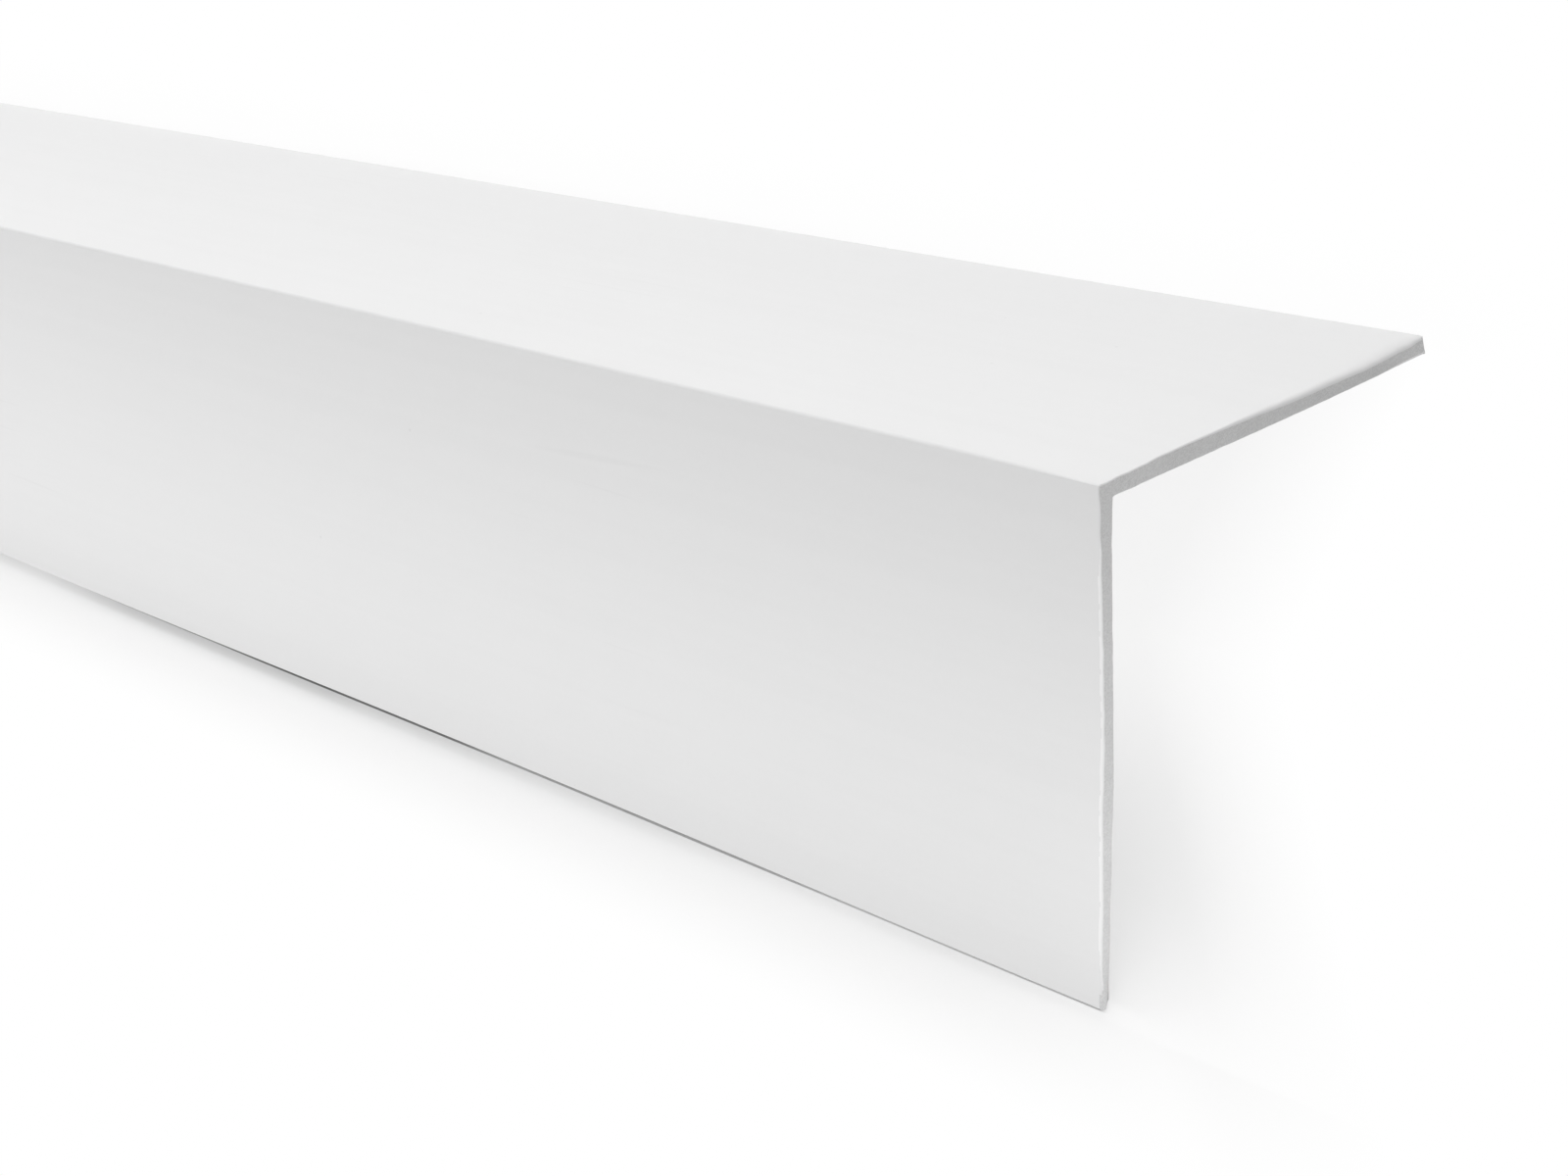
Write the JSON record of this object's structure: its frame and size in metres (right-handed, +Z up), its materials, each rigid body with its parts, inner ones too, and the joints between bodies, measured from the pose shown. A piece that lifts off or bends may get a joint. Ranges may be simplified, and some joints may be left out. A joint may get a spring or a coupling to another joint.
{
  "type": "corner guard moulding",
  "caption": "Long straight white plastic angle with equal legs, fixed over an outside wall corner to protect its edge.",
  "frame": {"origin": "middle of the footprint at floor level, under the ridge and halfway along the stock", "axes": "+X along the stock towards the sawn end that the picture shows; +Z up, with the ridge on top; the leg on the -Y side is the one whose outside faces the camera in the picture"},
  "size_m": [1, 0.0706, 0.0363],
  "materials": {
    "white_pvc": "satin, extruded, faint lines along the stock"
  },
  "bodies": {
    "root": {"corner_guard": "white_pvc"}
  },
  "joints": []
}
